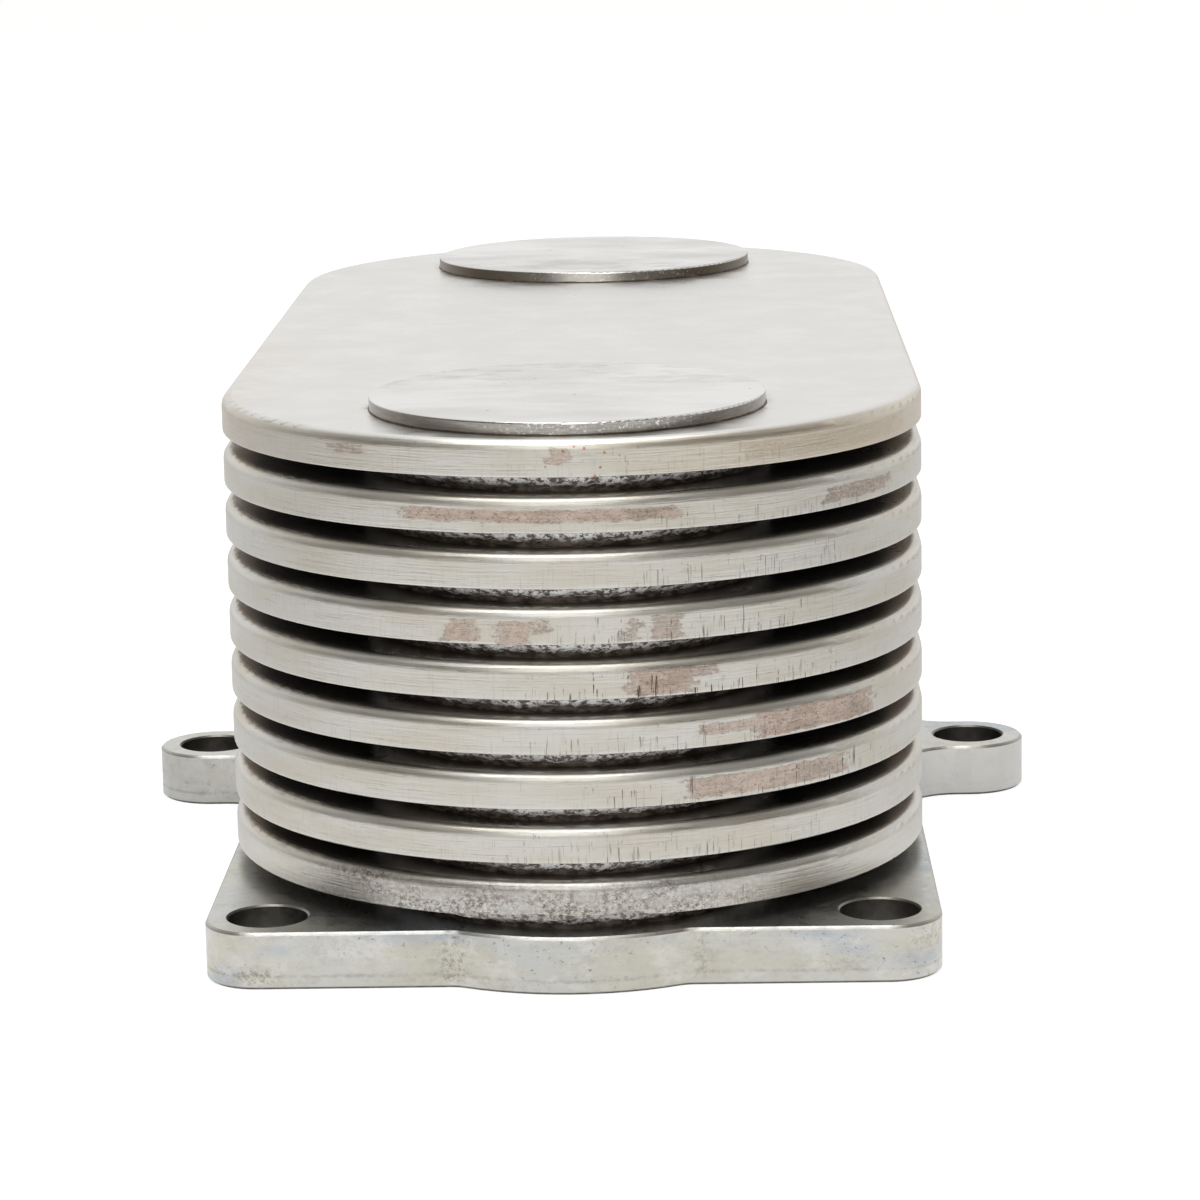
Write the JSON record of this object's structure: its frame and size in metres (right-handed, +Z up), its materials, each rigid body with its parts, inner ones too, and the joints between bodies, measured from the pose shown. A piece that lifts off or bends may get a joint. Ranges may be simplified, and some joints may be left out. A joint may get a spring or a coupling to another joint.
{
  "type": "plate heat exchanger",
  "caption": "Brazed stacked-plate heat exchanger: flat oval hollow elements on a thick bolt-down base plate, joined by rings around two end ports and closed by cap discs on top.",
  "frame": {"origin": "centre of the base plate's underside", "axes": "+Z up through the stack; +Y along the stack from the front port to the rear port; X across the stack"},
  "size_m": [0.1394, 0.226, 0.0773],
  "materials": {
    "base_steel": "satin",
    "plate_steel": "satin",
    "cap_steel": "satin",
    "ring_steel": "heat-stained, with braze on its upper half",
    "fin_steel": "plain",
    "seal_rubber": "matt"
  },
  "bodies": {
    "root": {"base_plate": "base_steel", "cap_front": "cap_steel", "o_ring_front": "seal_rubber", "cap_rear": "cap_steel", "o_ring_rear": "seal_rubber", "upper_plate_1": "plate_steel", "lower_plate_1": "plate_steel", "turbulator_1": "fin_steel", "spacer_ring_front_1": "ring_steel", "spacer_ring_rear_1": "ring_steel", "upper_plate_2": "plate_steel", "lower_plate_2": "plate_steel", "turbulator_2": "fin_steel", "spacer_ring_front_2": "ring_steel", "spacer_ring_rear_2": "ring_steel", "upper_plate_3": "plate_steel", "lower_plate_3": "plate_steel", "turbulator_3": "fin_steel", "spacer_ring_front_3": "ring_steel", "spacer_ring_rear_3": "ring_steel", "upper_plate_4": "plate_steel", "lower_plate_4": "plate_steel", "turbulator_4": "fin_steel", "spacer_ring_front_4": "ring_steel", "spacer_ring_rear_4": "ring_steel", "upper_plate_5": "plate_steel", "lower_plate_5": "plate_steel", "turbulator_5": "fin_steel", "spacer_ring_front_5": "ring_steel", "spacer_ring_rear_5": "ring_steel", "upper_plate_6": "plate_steel", "lower_plate_6": "plate_steel", "turbulator_6": "fin_steel", "spacer_ring_front_6": "ring_steel", "spacer_ring_rear_6": "ring_steel", "upper_plate_7": "plate_steel", "lower_plate_7": "plate_steel", "turbulator_7": "fin_steel", "spacer_ring_front_7": "ring_steel", "spacer_ring_rear_7": "ring_steel", "upper_plate_8": "plate_steel", "lower_plate_8": "plate_steel", "turbulator_8": "fin_steel", "spacer_ring_front_8": "ring_steel", "spacer_ring_rear_8": "ring_steel", "upper_plate_9": "plate_steel", "lower_plate_9": "plate_steel", "turbulator_9": "fin_steel", "spacer_ring_front_9": "ring_steel", "spacer_ring_rear_9": "ring_steel"}
  },
  "joints": []
}
